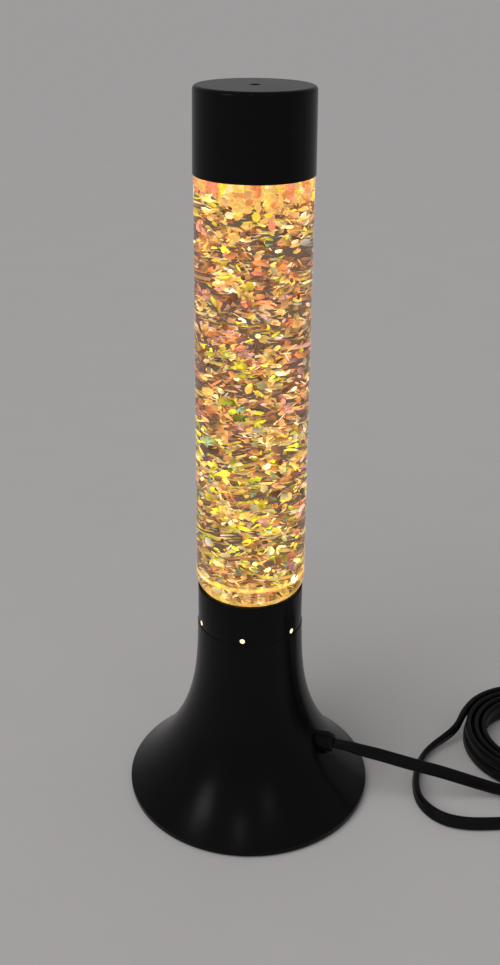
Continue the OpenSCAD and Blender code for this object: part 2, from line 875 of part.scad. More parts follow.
module bottle_closure() {
    closure_top = mouth_z + seal_t + closure_t;
    color([0.86, 0.86, 0.84])
    difference() {
        translate([0, 0, closure_top - closure_h]) cylinder(r = closure_bore + closure_t, h = closure_h);
        translate([0, 0, closure_top - closure_h - cut])
        cylinder(r = closure_bore, h = closure_h - closure_t + cut);
    }
}

module cap() {
    cap_top = cap_z + cap_h;
    top_edge = cap_r - cap_draft;
    inner_chamfer = 1;
    color(gloss_black)
    rotate_extrude()
    polygon(concat(
        [[cap_bore, cap_z], [cap_r, cap_z]],
        arc(top_edge - cap_round, cap_top - cap_round, cap_round, cap_round, 0, 90, 6),
        [[cap_hole_r, cap_top], [cap_hole_r, cap_top - cap_wall]],
        [[cap_bore - inner_chamfer, cap_top - cap_wall], [cap_bore, cap_top - cap_wall - inner_chamfer]]
    ));
}

// Cord

module strain_relief() {
    color(cord_black) {
        along_gland(hood_face - relief_in, hood_face + relief_flange_t, relief_r, relief_r);
        along_gland(hood_face, hood_face + relief_flange_t, relief_flange_r, relief_flange_r);
        along_gland(hood_face + relief_flange_t, relief_tip, relief_flange_r - relief_step, relief_end_r);
    }
}

module mains_lead() {
    color(cord_black) flat_cord(lead_route);
}

// Least distance between the corners of two of the coil's rings
function ring_gap(a, b) = min([for (p = a, q = b) norm(p - q)]);

module cord_coil() {
    rings = [for (i = [0:len(coil_route) - 1]) cord_ring(coil_route, i, 6)];
    apart = 180 / coil_step;
    near = 3 * cord_w;
    last = len(rings) - 1;
    gaps = [
        for (i = [0:last], j = [i + apart:1:last])
        if (norm(place(coil_route[i]) - place(coil_route[j])) < near) ring_gap(rings[i], rings[j])
    ];
    echo(least_gap_of_the_coil = min(gaps));
    color(cord_black) tube(rings);
}

module coil_tie() {
    low = coil_in - cord_t / 2 - tie_gap;
    high = coil_r + cord_t / 2 + tie_gap;
    top = coil_z + coil_climb + cord_w / 2 + tie_gap;
    color([0.14, 0.14, 0.15])
    translate([coil_x, coil_y, 0])
    rotate(tie_turn)
    difference() {
        translate([low - tie_t, -tie_w / 2, 0]) cube([high - low + 2 * tie_t, tie_w, top + tie_t]);
        translate([low, -tie_w / 2 - cut, tie_t]) cube([high - low, tie_w + 2 * cut, top - tie_t]);
    }
}

module cord_tail() {
    color(cord_black) flat_cord(tail_route);
}

module plug_lead() {
    color(cord_black) flat_cord(plug_route);
}

// Switch

// Solid with round ends and rounded edges, standing on z = bottom, long side along X
module round_ended(l, w, bottom, top, edge) {
    half = concat(
        [[0, bottom]],
        arc(w / 2 - edge, bottom + edge, edge, edge, -90, 0, 5),
        arc(w / 2 - edge, top - edge, edge, edge, 0, 90, 5),
        [[0, top]]
    );
    for (side = [-1, 1]) translate([side * (l - w) / 2, 0, 0]) rotate_extrude() polygon(half);
    translate([-(l - w) / 2, 0, 0])
    rotate([90, 0, 90])
    linear_extrude(l - w) {
        polygon(half);
        mirror([1, 0]) polygon(half);
    }
}

screw_x = case_l / 2 - 8;
post_r = 2.6;
case_screw_r = 1.1;
case_head_r = 2.2;
case_head_h = 1.6;
sink_h = 2;
sink_gap = 0.2;
pin_fit = 0.02;
pin_end_play = 0.2;
window_gap = 0.6;
rocker_pivot = case_h - 4.5;
rocker_rise = 4.2;
rocker_drop = 3;
rocker_half = rocker_l / 2;

module switch_case() {
    round_ended(case_l, case_w, 0, case_h, case_edge);
    for (side = [-1, 1])
        translate([side * (case_l / 2 - nose_l), 0, case_split])
        rotate([0, side * 90, 0]) cylinder(r = nose_r, h = 2 * nose_l);
}

module switch_cavity() {
    round_ended(case_l - 2 * case_wall, case_w - 2 * case_wall, case_wall, case_h - case_wall, case_edge / 2);
}

module switch_posts(r) {
    for (side = [-1, 1])
        translate([side * screw_x, 0, case_wall / 2]) cylinder(r = r, h = case_h - case_wall);
}

module slab(from, to) {
    translate([-case_l, -case_w, from]) cube([2 * case_l, 2 * case_w, to - from]);
}

module at_switch() {
    translate([switch_x, switch_y, 0]) children();
}

module switch_lower_case() {
    color(cord_black)
    at_switch()
    difference() {
        intersection() {
            switch_case();
            slab(-cut, case_split);
        }
        difference() {
            switch_cavity();
            switch_posts(post_r);
        }
        for (side = [-1, 1])
            translate([side * screw_x, 0, -cut]) {
                cylinder(r = case_head_r + sink_gap, h = sink_h + cut);
                cylinder(r = case_screw_r + run_fit, h = case_h);
            }
    }
}

module switch_upper_case() {
    color(cord_black)
    at_switch()
    difference() {
        intersection() {
            switch_case();
            slab(case_split, case_h + cut);
        }
        difference() {
            switch_cavity();
            switch_posts(post_r);
        }
        for (side = [-1, 1])
            translate([side * screw_x, 0, case_split - cut])
            cylinder(r = case_screw_r + run_fit, h = case_h - case_wall - case_split);
        window_l = rocker_l + 2 * (window_gap + (case_h - rocker_pivot) * sin(rocker_tip));
        window_w = rocker_w + 2 * window_gap;
        translate([-window_l / 2, -window_w / 2, rocker_pivot]) cube([window_l, window_w, case_h]);
        pin_hole_l = case_w - case_wall + pin_end_play;
        translate([0, pin_hole_l / 2, rocker_pivot])
        rotate([90, 0, 0]) cylinder(r = pin_r + pin_fit, h = pin_hole_l);
    }
}

module switch_screws() {
    color(steel)
    at_switch()
    for (side = [-1, 1])
        translate([side * screw_x, 0, sink_h - case_head_h]) {
            cylinder(r = case_head_r, h = case_head_h);
            cylinder(r = case_screw_r, h = case_h - case_wall - sink_h);
        }
}

module switch_contacts() {
    contact_l = 6;
    contact_w = 5;
    contact_t = 0.8;
    contact_x = 10;
    contact_drop = 2;
    color(brass)
    at_switch()
    for (side = [-1, 1])
        translate([side * contact_x - contact_l / 2, -contact_w / 2, case_wall]) {
            cube([contact_l, contact_w, contact_t]);
            translate([(contact_l - contact_t) / 2, 0, 0])
            cube([contact_t, contact_w, case_split - case_wall - contact_drop]);
        }
}

module rocker_pin() {
    pin_l = case_w - case_wall;
    color(steel)
    at_switch()
    translate([0, pin_l / 2, rocker_pivot])
    rotate([90, 0, 0]) cylinder(r = pin_r, h = pin_l);
}

// The rocker lies at its ON end
module rocker() {
    end_rise = rocker_rise + rocker_half * tan(rocker_tip);
    end_low = 1.6;
    belly = pin_r + 2;
    color([0.16, 0.16, 0.17])
    at_switch()
    translate([0, 0, rocker_pivot])
    rotate([0, rocker_tip, 0])
    difference() {
        translate([0, rocker_w / 2, 0])
        rotate([90, 0, 0])
        linear_extrude(rocker_w)
        polygon([
            [-rocker_half, end_rise], [-rocker_half, end_low], [-belly, -rocker_drop],
            [belly, -rocker_drop], [rocker_half, end_low], [rocker_half, end_rise], [0, rocker_rise]
        ]);
        translate([0, rocker_w / 2 + cut, 0])
        rotate([90, 0, 0]) cylinder(r = pin_r + run_fit, h = rocker_w + 2 * cut);
    }
}

// Plug

pin_root_r = plug_pin_r - sleeve_t - sleeve_sink;

module along_plug(from, to, r1, r2, x = 0) {
    translate([plug_x + x, from, plug_z]) rotate([-90, 0, 0]) cylinder(r1 = r1, r2 = r2, h = to - from);
}

module plug_relief() {
    color(cord_black)
    along_plug(plug_y, plug_y + plug_relief_len, relief_end_r, plug_body_t / 2 - plug_relief_step);
}

// Slab with rounded corners, across the plug
module plug_slab(y, l, w, t, edge) {
    for (x = [-1, 1], z = [-1, 1])
        translate([plug_x + x * (w / 2 - edge), y, plug_z + z * (t / 2 - edge)])
        rotate([-90, 0, 0]) cylinder(r = edge, h = l, $fn = 32);
}

module plug_body() {
    back = plug_y + plug_relief_len;
    taper = 11;
    chamfer = 1;
    edge = 3.5;
    back_w = 16;
    color(cord_black)
    hull() {
        plug_slab(back, chamfer, back_w, plug_body_t - 2 * chamfer, edge - chamfer / 2);
        plug_slab(back + taper, plug_body_len - taper - chamfer, plug_body_w, plug_body_t, edge);
        plug_slab(
            plug_face - 2 * chamfer, 2 * chamfer,
            plug_body_w - 2 * chamfer, plug_body_t - 2 * chamfer, edge - chamfer
        );
    }
}

module plug_pins() {
    end = plug_face + plug_pin_len;
    color(brass)
    for (side = [-1, 1]) {
        x = side * pin_pitch / 2;
        along_plug(plug_face, plug_face + sleeve_len, pin_root_r, pin_root_r, x);
        along_plug(plug_face + sleeve_len, end - pin_point, plug_pin_r, plug_pin_r, x);
        along_plug(end - pin_point, end, plug_pin_r, plug_pin_r - 0.8 * pin_point, x);
    }
}

module pin_sleeves() {
    color(cord_black)
    for (side = [-1, 1]) {
        x = side * pin_pitch / 2;
        bore = pin_root_r + still_fit;
        out = plug_pin_r - sleeve_sink;
        difference() {
            along_plug(plug_face, plug_face + sleeve_len, out, out, x);
            along_plug(plug_face - cut, plug_face + sleeve_len + cut, bore, bore, x);
        }
    }
}

base_shell();
bottom_plate();
plate_screws();
rubber_feet();
collar();
holder_bracket();
bracket_screws();
threaded_nipple();
lock_nut();
lamp_holder();
screw_shell();
centre_contact();
terminal_screws();
live_wire();
neutral_wire();
bulb_tip();
bulb_insulator();
bulb_screw_cap();
bulb_glass();
bulb_stem();
bulb_filament();
bottle();
glitter_liquid();
glitter_flakes();
closure_seal();
bottle_closure();
cap();
strain_relief();
mains_lead();
cord_coil();
coil_tie();
cord_tail();
switch_lower_case();
switch_upper_case();
switch_screws();
switch_contacts();
rocker_pin();
rocker();
plug_lead();
plug_relief();
plug_body();
plug_pins();
pin_sleeves();
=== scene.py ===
import bpy
import numpy as np
from mathutils import Matrix


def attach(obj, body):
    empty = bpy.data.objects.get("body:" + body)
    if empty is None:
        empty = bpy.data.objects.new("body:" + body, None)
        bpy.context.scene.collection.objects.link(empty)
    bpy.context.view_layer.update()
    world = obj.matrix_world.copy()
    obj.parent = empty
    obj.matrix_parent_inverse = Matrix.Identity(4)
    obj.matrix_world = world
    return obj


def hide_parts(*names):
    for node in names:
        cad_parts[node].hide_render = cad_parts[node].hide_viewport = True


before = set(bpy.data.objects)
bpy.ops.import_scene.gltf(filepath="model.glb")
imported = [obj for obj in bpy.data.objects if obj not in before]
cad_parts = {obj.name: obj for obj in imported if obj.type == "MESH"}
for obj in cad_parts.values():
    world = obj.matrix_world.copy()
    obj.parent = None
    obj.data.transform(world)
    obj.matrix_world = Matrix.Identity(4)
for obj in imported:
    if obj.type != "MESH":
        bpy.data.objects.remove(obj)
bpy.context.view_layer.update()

# Camera
# The photograph's viewpoint: a little above the lamp, tilted down, about 0.55 m from the lamp's middle.
# The lens is worked out in pixels of the photograph, 500 by 965, with its axis above the picture's middle.
photo_h = 965
lens_px = 1161.786
axis_row = 400
sensor_mm = 36
stand = np.array([0, -0.492724, 0.405977])
pitch, yaw, roll = np.radians([21.703, -0.11, 0.511])
ahead = np.array([np.sin(yaw) * np.cos(pitch), np.cos(yaw) * np.cos(pitch), -np.sin(pitch)])
level = np.array([np.cos(yaw), -np.sin(yaw), 0])
rise = np.cross(level, ahead)
across = np.cos(roll) * level + np.sin(roll) * rise
upward = -np.sin(roll) * level + np.cos(roll) * rise


def in_scene(name, data):
    """An object of that name with a mesh, a light or a camera in it, linked into the scene."""
    made = bpy.data.objects.new(name, data)
    bpy.context.scene.collection.objects.link(made)
    return made


def placed(x_way, y_way, z_way, place):
    """The matrix of something that stands at a place, with its own three axes along three ways."""
    columns = np.column_stack([x_way, y_way, z_way, place])
    return Matrix(np.vstack([columns, [0, 0, 0, 1]]).tolist())


camera = in_scene("camera", bpy.data.cameras.new("camera"))
camera.data.sensor_width = sensor_mm
camera.data.lens = lens_px / photo_h * sensor_mm
camera.data.shift_y = axis_row / photo_h - 0.5
camera.data.clip_start = 0.01
camera.matrix_world = placed(across, upward, -ahead, stand)
bpy.context.scene.camera = camera

# Mains cord
# Flat two-core PVC cord, 6.2 by 3.2 mm, extruded with a shallow groove between its cores. It leaves the
# gland, sinks to the table, is wound up in two layers, and lies in a loose loop on its way to the switch.
cord_w, cord_t, cord_round, cord_sides = 6.2, 3.2, 0.8, 28
groove_share, groove_w = 0.16, 0.7
gland_tip = [42.83, -13.92, 30.5]
# Each point of a route is x, y and z in mm and the cord's roll in degrees, 90 where it stands on edge
on_edge = 90
lead_route = [
    [*gland_tip, 180], [50, -16.2, 30.3, 172], [56, -17.8, 29.4, 158], [66, -19.2, 27.4, 140],
    [76, -19.7, 24.4, 128], [86, -19.7, 21.2, 120], [97, -19.2, 17.4, 114], [107, -18.5, 13.3, 108],
    [118, -17.8, 8.8, 101], [128, -17.6, 5.4, 94], [138, -17.9, 4.1, on_edge],
]
tail_route = [
    [113.3, 28.6, 9.8, 92], [109.6, 24.6, 8.3, 96], [104.6, 21.4, 6.3, 104], [98.6, 17.6, 4.5, 112],
    [93, 11.6, 3.3, 114], [88.8, 2, 3.2, 108], [86, -10, 3.2, 100], [86.2, -22, 3.2, 100],
    [90.6, -31, 3.2, 110], [97.6, -36.8, 3.2, 120], [107, -39.4, 3.2, 122], [118, -39.6, 3.2, 116],
    [130, -38.8, 3.3, 104], [142, -38.2, 3.8, 94], [152, -38, 5.6, on_edge], [158, -38, 6.8, on_edge],
    [163, -38, 7, on_edge],
]
coil_x, coil_y, coil_r, coil_z = 153.5, 21, 39, 4.0
coil_pitch, coil_climb = 4.0, 6.8
coil_start, coil_sweep, climb_sweep, coil_steps = -90, 2402, 180, 161


def coil_route():
    """Middle line of the coil: the radius falls by one pitch a turn to half way and grows again, while the
    height eases from the lower layer to the upper one half way along. Its ends run on straight."""
    along = np.linspace(0, coil_sweep, coil_steps)
    inmost = coil_r - coil_pitch * coil_sweep / 720
    radius = inmost + coil_pitch * np.abs(along - coil_sweep / 2) / 360
    share = np.clip((along - coil_sweep / 2 + climb_sweep / 2) / climb_sweep, 0, 1)
    height = coil_z + coil_climb * share**2 * (3 - 2 * share)
    turn = np.radians(along + coil_start)
    x, y = coil_x + radius * np.cos(turn), coil_y + radius * np.sin(turn)
    route = np.stack([x, y, height, 0 * turn + on_edge], -1)
    heading = np.stack([-np.sin(turn), np.cos(turn), 0 * turn, 0 * turn], -1)
    return np.vstack([route[0] - cord_w * heading[0], route, route[-1] + cord_w * heading[-1]])


def smooth_route(route, steps):
    """Catmull-Rom curve through the points of a route, with their roll as a fourth number: a cubic from each
    point to the next, whose slope at a point is half the way from the point before it to the one after."""
    p = np.asarray(route, float)
    p = np.concatenate([2 * p[:1] - p[1:2], p, 2 * p[-1:] - p[-2:-1]])
    t = np.linspace(0, 1, steps, endpoint=False)[:, None]
    a, b, c, d = (p[i:len(p) - 3 + i, None] for i in range(4))
    curve = 0.5 * (2 * b + (c - a) * t + (2 * a - 5 * b + 4 * c - d) * t**2 + (3 * b - a - 3 * c + d) * t**3)
    return np.concatenate([curve.reshape(-1, p.shape[1]), p[-2:-1]])


def grid_faces(rows, cols, wrap_rows=False):
    """Quads over a sheet of rows by cols points, whose rows are closed rings. The last row joins the first
    where asked."""
    i, j = np.meshgrid(np.arange(rows if wrap_rows else rows - 1), np.arange(cols), indexing="ij")
    below, beside = (i + 1) % rows, (j + 1) % cols
    corners = [i * cols + j, i * cols + beside, below * cols + beside, below * cols + j]
    return np.stack(corners, -1).reshape(-1, 4)


def flat_cord(route):
    """Flat section carried along a route: x = 3.1 |cos t|^0.8 and y = 1.6 |sin t|^0.8 with the signs of cos
    and sin, and y less 16% in the middle, falling off over 0.7 mm, for the groove. The section is rolled
    about the route, and each end closes in a point."""
    t = np.linspace(0, 2 * np.pi, cord_sides, endpoint=False)
    wide_x = cord_w / 2 * np.sign(np.cos(t)) * np.abs(np.cos(t)) ** cord_round
    thin_y = cord_t / 2 * np.sign(np.sin(t)) * np.abs(np.sin(t)) ** cord_round
    thin_y = thin_y * (1 - groove_share * np.exp(-((wide_x / groove_w) ** 2)))
    line, turn = route[:, :3], np.radians(route[:, 3:])
    forth = np.gradient(line, axis=0)
    forth /= np.linalg.norm(forth, axis=1)[:, None]
    side = np.cross(forth, [0, 0, 1])
    side /= np.linalg.norm(side, axis=1)[:, None]
    wide = np.cos(turn) * side + np.sin(turn) * np.cross(side, forth)
    thin = np.cross(forth, wide)
    rings = line[:, None] + wide_x[:, None] * wide[:, None] + thin_y[:, None] * thin[:, None]
    first, last = (np.repeat(line[k][None, None], len(t), 1) for k in (0, -1))
    rings = np.concatenate([first, rings, last])
    return rings.reshape(-1, 3), grid_faces(len(rings), len(t))


def tint(code):
    """sRGB hex colour to linear red, green, blue and alpha."""
    c = np.array([int(code[k:k + 2], 16) for k in (1, 3, 5)]) / 255
    return (*np.where(c <= 0.04045, c / 12.92, ((c + 0.055) / 1.055) ** 2.4).tolist(), 1.0)


def add(material, kind, inputs=None, **settings):
    """Adds one node: settings are its own properties, and inputs gives each socket a value or an output to
    link."""
    made = material.node_tree.nodes.new(kind)
    for name, value in settings.items():
        setattr(made, name, value)
    for socket, value in (inputs or {}).items():
        if isinstance(value, bpy.types.NodeSocket):
            material.node_tree.links.new(value, made.inputs[socket])
        else:
            made.inputs[socket].default_value = value
    return made


def feed(material, socket, output):
    """Links an output to a socket of the material's surface."""
    material.node_tree.links.new(output, material.node_tree.nodes["Principled BSDF"].inputs[socket])


def surface(name, **sockets):
    """A material with one Principled surface, its sockets set by name, with _ for a space. Where it glows it
    isn't sampled as a lamp."""
    made = bpy.data.materials.new(name)
    made.use_nodes = True
    made.cycles.emission_sampling = "NONE"
    base = made.node_tree.nodes["Principled BSDF"]
    for socket, value in sockets.items():
        base.inputs[socket.replace("_", " ")].default_value = value
    return made


def grained(name, dark, light, grain_mm, rough, relief_mm, **sockets):
    """A surface that varies between two colours and two roughnesses over grains of a size in mm, with a low
    relief."""
    made = surface(name, **sockets)
    where = add(made, "ShaderNodeTexCoord").outputs["Object"]
    noise = add(made, "ShaderNodeTexNoise", {"Vector": where, "Scale": 1000 / grain_mm, "Detail": 4})
    grain = noise.outputs["Fac"]
    shade = add(
        made, "ShaderNodeMix", {"Factor": grain, 6: tint(dark), 7: tint(light)}, data_type="RGBA"
    )
    gloss = add(made, "ShaderNodeMapRange", {"Value": grain, "To Min": rough[0], "To Max": rough[1]})
    relief = add(made, "ShaderNodeBump", {"Height": grain, "Distance": relief_mm / 1000, "Strength": 1.0})
    feed(made, "Base Color", shade.outputs[2])
    feed(made, "Roughness", gloss.outputs[0])
    feed(made, "Normal", relief.outputs[0])
    return made


def piece(name, body, slot, materials, points, quads, replaces, sharp=40, face_slots=None):
    """A mesh from points in mm and quads: points that coincide are joined, a quad with two joined corners
    becomes a triangle, and edges sharper than an angle in degrees stay sharp. It rides on a body and stands
    for CAD nodes."""
    points, same = np.unique(np.round(points, 5), axis=0, return_inverse=True)
    quads = same.reshape(-1)[quads]
    low, high = quads[:, 0] == quads[:, 1], quads[:, 2] == quads[:, 3]
    whole, top, foot = ~low & ~high, high & ~low, low & ~high
    faces = quads[whole].tolist() + quads[top][:, :3].tolist() + quads[foot][:, 1:].tolist()
    mesh = bpy.data.meshes.new(name)
    mesh.from_pydata(points / 1000, [], faces)
    for material in materials:
        mesh.materials.append(material)
    if face_slots is not None:
        ordered = np.concatenate([face_slots[whole], face_slots[top], face_slots[foot]])
        mesh.polygons.foreach_set("material_index", ordered.astype(np.int32))
    mesh.shade_smooth()
    mesh.set_sharp_from_angle(angle=np.radians(sharp))
    made = in_scene(name, mesh)
    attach(made, body)
    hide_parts(*replaces)
    return made


# Soft black PVC, extruded: a satin skin with a faint unevenness
cord_pvc = grained(
    "black flexible PVC", "#050506", "#09090a", 9, (0.34, 0.46), 0.03, Specular_IOR_Level=0.16
)
cord_line = smooth_route(np.vstack([lead_route, coil_route(), tail_route]), 6)
mains_cord = piece(
    "mains_cord", "base", "black_cord", [cord_pvc], *flat_cord(cord_line),
    ("mains_lead", "cord_coil", "cord_tail"),
)


# Coil strap
# A woven nylon strap, 8 mm wide and 0.8 mm thick. It is wrapped once round the coil's section, and holds its
# turns together.
strap_w, strap_t, strap_square = 8, 0.8, 12
strap_turn = np.radians(20)
strap_low, strap_high, strap_top = 23.22, 39.7, 14.4


def strap_band():
    """A flat band carried round a loop with |x/a|^12 + |z/b|^12 = 1 about the coil's section: the strap's
    four edges are that loop, or that loop a thickness further out, half the width to either side."""
    t = np.linspace(0, 2 * np.pi, 96, endpoint=False)
    mid, half = (strap_low + strap_high) / 2, (strap_high - strap_low) / 2
    rise = (strap_top - strap_t) / 2
    c = np.sign(np.cos(t)) * np.abs(np.cos(t)) ** (2 / strap_square)
    s = np.sign(np.sin(t)) * np.abs(np.sin(t)) ** (2 / strap_square)
    thick = np.array([[strap_t], [strap_t], [0], [0]])
    side = strap_w / 2 * np.array([[-1], [1], [1], [-1]])
    out = mid + (half + thick) * c
    up = strap_t + rise + (rise + thick) * s
    wide = np.broadcast_to(side, out.shape)
    x = coil_x + out * np.cos(strap_turn) - wide * np.sin(strap_turn)
    y = coil_y + out * np.sin(strap_turn) + wide * np.cos(strap_turn)
    return np.stack([x, y, up], -1).reshape(-1, 3), grid_faces(4, len(t), wrap_rows=True)


# Woven nylon: a dull cloth of 0.5 mm threads
strap_nylon = grained("black woven nylon", "#111112", "#26262a", 0.5, (0.6, 0.8), 0.08)
coil_strap = piece("coil_strap", "base", "black_tie", [strap_nylon], *strap_band(), ("coil_tie",))


# Switch on the cord
# A two-part case moulded in black ABS, closed by two screws from below, with a rocker on a steel pin.
# The contacts and the pin are inside.
def shaded_copy(node, body, slot, material):
    """A CAD node's own solid with its loose triangles joined, so that its curved faces shade smoothly."""
    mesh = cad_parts[node].data
    points = np.zeros(len(mesh.vertices) * 3)
    mesh.vertices.foreach_get("co", points)
    points = points.reshape(-1, 3) * 1000
    corners = np.zeros(len(mesh.loops), int)
    mesh.loops.foreach_get("vertex_index", corners)
    corners = corners.reshape(-1, 3)
    quads = np.column_stack([corners, corners[:, 2]])
    return piece(node + "_solid", body, slot, [material], points, quads, (node,), sharp=35)


# ABS with a fine spark-eroded grain of 0.8 mm, as switch cases have
switch_abs = grained("black grained ABS", "#0e0e0f", "#161617", 0.8, (0.42, 0.55), 0.02)
# The rocker comes out of a polished mould, so it is smoother than its case
rocker_abs = grained("black polished ABS", "#101011", "#131314", 12, (0.16, 0.24), 0.01)
# Zinc plate on steel: grey metal with a slightly uneven shine
zinc_steel = grained("zinc plated steel", "#9a9da3", "#b6b8ba", 1.5, (0.25, 0.45), 0.01, Metallic=1.0)
# Bright brass sheet, drawn and left bare
brass_sheet = grained("bare brass", "#b98f45", "#cfa65a", 2.5, (0.2, 0.38), 0.01, Metallic=1.0)
switch_pieces = [
    shaded_copy("switch_lower_case", "base", "black_switch", switch_abs),
    shaded_copy("switch_upper_case", "base", "black_switch", switch_abs),
    shaded_copy("switch_screws", "base", "zinc_steel", zinc_steel),
    shaded_copy("switch_contacts", "base", "brass", brass_sheet),
    shaded_copy("rocker_pin", "base", "zinc_steel", zinc_steel),
    shaded_copy("rocker", "rocker", "black_switch", rocker_abs),
]

# Cord from the switch to the plug
# The same flat PVC cord, held by the switch's case at one end and moulded into the plug's relief at the
# other. It lies in one short bend on the table.
plug_route = [
    [227, -38, 7, on_edge], [233, -38, 6.6, on_edge], [239, -36.4, 5, on_edge], [244.5, -32.6, 3.9, on_edge],
    [249, -27, 4.2, on_edge], [251.4, -21, 6, on_edge], [252, -16, 7, on_edge], [252, -12, 7, on_edge],
]
plug_line = smooth_route(plug_route, 8)
plug_cord = piece("plug_cord", "base", "black_cord", [cord_pvc], *flat_cord(plug_line), ("plug_lead",))

# Plug
# A flat two-pin plug moulded onto the cord in black PVC, with a tapered strain relief.
# Its two pins are nickel plated, and sleeved over half their length.

# PVC from a grained mould: a satin black skin
plug_pvc = grained("black moulded PVC", "#0d0d0e", "#171718", 1.2, (0.4, 0.52), 0.02)
# Nickel plate on brass: a warm grey mirror
pin_nickel = grained("nickel plated brass", "#b4ad9c", "#c9c3b4", 2, (0.15, 0.3), 0.005, Metallic=1.0)
plug_pieces = [
    shaded_copy("plug_relief", "base", "black_plug", plug_pvc),
    shaded_copy("plug_body", "base", "black_plug", plug_pvc),
    shaded_copy("plug_pins", "base", "brass", pin_nickel),
    shaded_copy("pin_sleeves", "base", "black_plug", plug_pvc),
]

# Base shell
# The flared foot, moulded in one piece in gloss black ABS: a lip, a flare that turns into a slim neck,
# a short hood for the cord's gland on its right flank, and three screw bosses inside.
rim_r, neck_r, neck_top, lip_top, rim_z, shell_t = 60.8, 25.6, 95.2, 3.4, 0.8, 2.0
flare_line, flare_power, flare_rows, row_power = 1.2, 2.95, 110, 1.4
rim_round, edge_round, lip_hold, hood_hold = 0.5, 0.6, 0.8, 1
hood_turn, hood_z, hood_r, hood_bore = np.radians(-18), 30.5, 5.5, 4.05
hood_root, hood_face = 24.93, 42.43
boss_turns, boss_out = np.radians([42, 162, 282]), 40
boss_r, boss_bore, boss_low, boss_high = 3.6, 1.45, 5.4, 20.6


def flare(z):
    """Radius of the flared outside: r = 25.6 + 1.2 u + 34 u^2.95, with u from 0 at the neck to 1 at the
    lip."""
    u = (neck_top - z) / (neck_top - lip_top)
    return neck_r + flare_line * u + (rim_r - neck_r - flare_line) * np.clip(u, 0, None) ** flare_power


def arc(x, z, rx, rz, start, end, steps):
    """Points of an ellipse's arc about (x, z), from one angle in degrees to another: x + rx cos t and
    z + rz sin t."""
    t = np.radians(np.linspace(start, end, steps))
    return np.column_stack([x + rx * np.cos(t), z + rz * np.sin(t)])


def lathe(profile, around, closed=True):
    """A profile of (radius, height) turned about the Z axis: x = r cos a, y = r sin a. A closed profile joins
    its ends."""
    r, z = np.asarray(profile, float).T
    a = np.linspace(0, 2 * np.pi, around, endpoint=False)
    levels = np.repeat(z[:, None], around, 1)
    points = np.stack([np.outer(r, np.cos(a)), np.outer(r, np.sin(a)), levels], -1)
    return points.reshape(-1, 3), grid_faces(len(r), around, wrap_rows=closed)


def together(*parts):
    """Several sets of points and quads as one."""
    start = np.cumsum([0] + [len(p) for p, q in parts])[:-1]
    return np.vstack([p for p, q in parts]), np.vstack([q + s for (p, q), s in zip(parts, start)])


def along_gland(points):
    """Turns points made about the Z axis so that Z runs out along the gland's axis."""
    x, y, z = np.asarray(points, float).T
    out = np.array([np.cos(hood_turn), np.sin(hood_turn), 0])
    side = np.array([-np.sin(hood_turn), np.cos(hood_turn), 0])
    up = np.array([0, 0, 1])
    return z[:, None] * out + y[:, None] * side - x[:, None] * up + hood_z * up


heights = lip_top + (neck_top - edge_round - lip_top) * np.linspace(0, 1, flare_rows) ** row_power
slope = np.gradient(flare(heights), heights)
steep = np.sqrt(1 + slope**2)
inside = np.column_stack([flare(heights) - shell_t / steep, heights + shell_t * slope / steep])
inside = inside[inside[:, 0] < rim_r - shell_t]
shell_profile = np.vstack([
    arc(rim_r - rim_round, rim_z + rim_round, rim_round, rim_round, -90, 0, 5),
    [[rim_r, lip_top - lip_hold]],
    np.column_stack([flare(heights), heights]),
    arc(neck_r - edge_round, neck_top - edge_round, edge_round, edge_round, 15, 90, 5),
    [[neck_r - shell_t, neck_top]],
    inside[::-1],
    [[rim_r - shell_t, inside[0, 1]], [rim_r - shell_t, rim_z]],
])
hood_profile = np.vstack([
    [[hood_r, hood_root], [hood_r, hood_face - hood_hold]],
    arc(hood_r - edge_round, hood_face - edge_round, edge_round, edge_round, 0, 90, 6),
    [[hood_bore, hood_face], [hood_bore, hood_root]],
])
hood_points, hood_quads = lathe(hood_profile, 64)
boss_points, boss_quads = lathe(
    [[boss_r, boss_low], [boss_r, boss_high], [boss_bore, boss_high], [boss_bore, boss_low]], 32
)
bosses = [
    (boss_points + [boss_out * np.cos(turn), boss_out * np.sin(turn), 0], boss_quads) for turn in boss_turns
]
# The same ABS on the base, the collar and the cap: polished in the mould, with a slow ripple and fine dust
black_abs = grained(
    "gloss black ABS", "#040404", "#070708", 14, (0.2, 0.26), 0.015, Specular_IOR_Level=0.13
)
piece(
    "base_moulding", "base", "gloss_black_plastic", [black_abs],
    *together(lathe(shell_profile, 192), (along_gland(hood_points), hood_quads), *bosses), ("base_shell",),
)

# Bottom plate, its screws and the feet
# A flat plate of black polypropylene closes the base from below, held by three screws.
# Four rubber feet keep it off the table.

# Moulded polypropylene: satin, with a fine grain of 0.9 mm
plate_pp = grained("satin black polypropylene", "#141415", "#1d1d1e", 0.9, (0.5, 0.65), 0.03)
# Moulded rubber: dull, and a little uneven
foot_rubber = grained("black rubber", "#121212", "#1e1e1e", 0.7, (0.75, 0.9), 0.05)
shaded_copy("bottom_plate", "base", "black_plate", plate_pp)
shaded_copy("plate_screws", "base", "zinc_steel", zinc_steel)
shaded_copy("rubber_feet", "base", "black_rubber", foot_rubber)

# Lamp holder and its wiring
# A holder of white thermoset on a threaded nipple and a bent steel bracket, with a brass screw shell and
# contact. The cord's two cores, brown and blue, run to its terminal screws.

# Pressed thermoset: off-white, half dull
holder_white = grained("white thermoset", "#d8d3c6", "#e6e2d8", 3, (0.35, 0.5), 0.02)
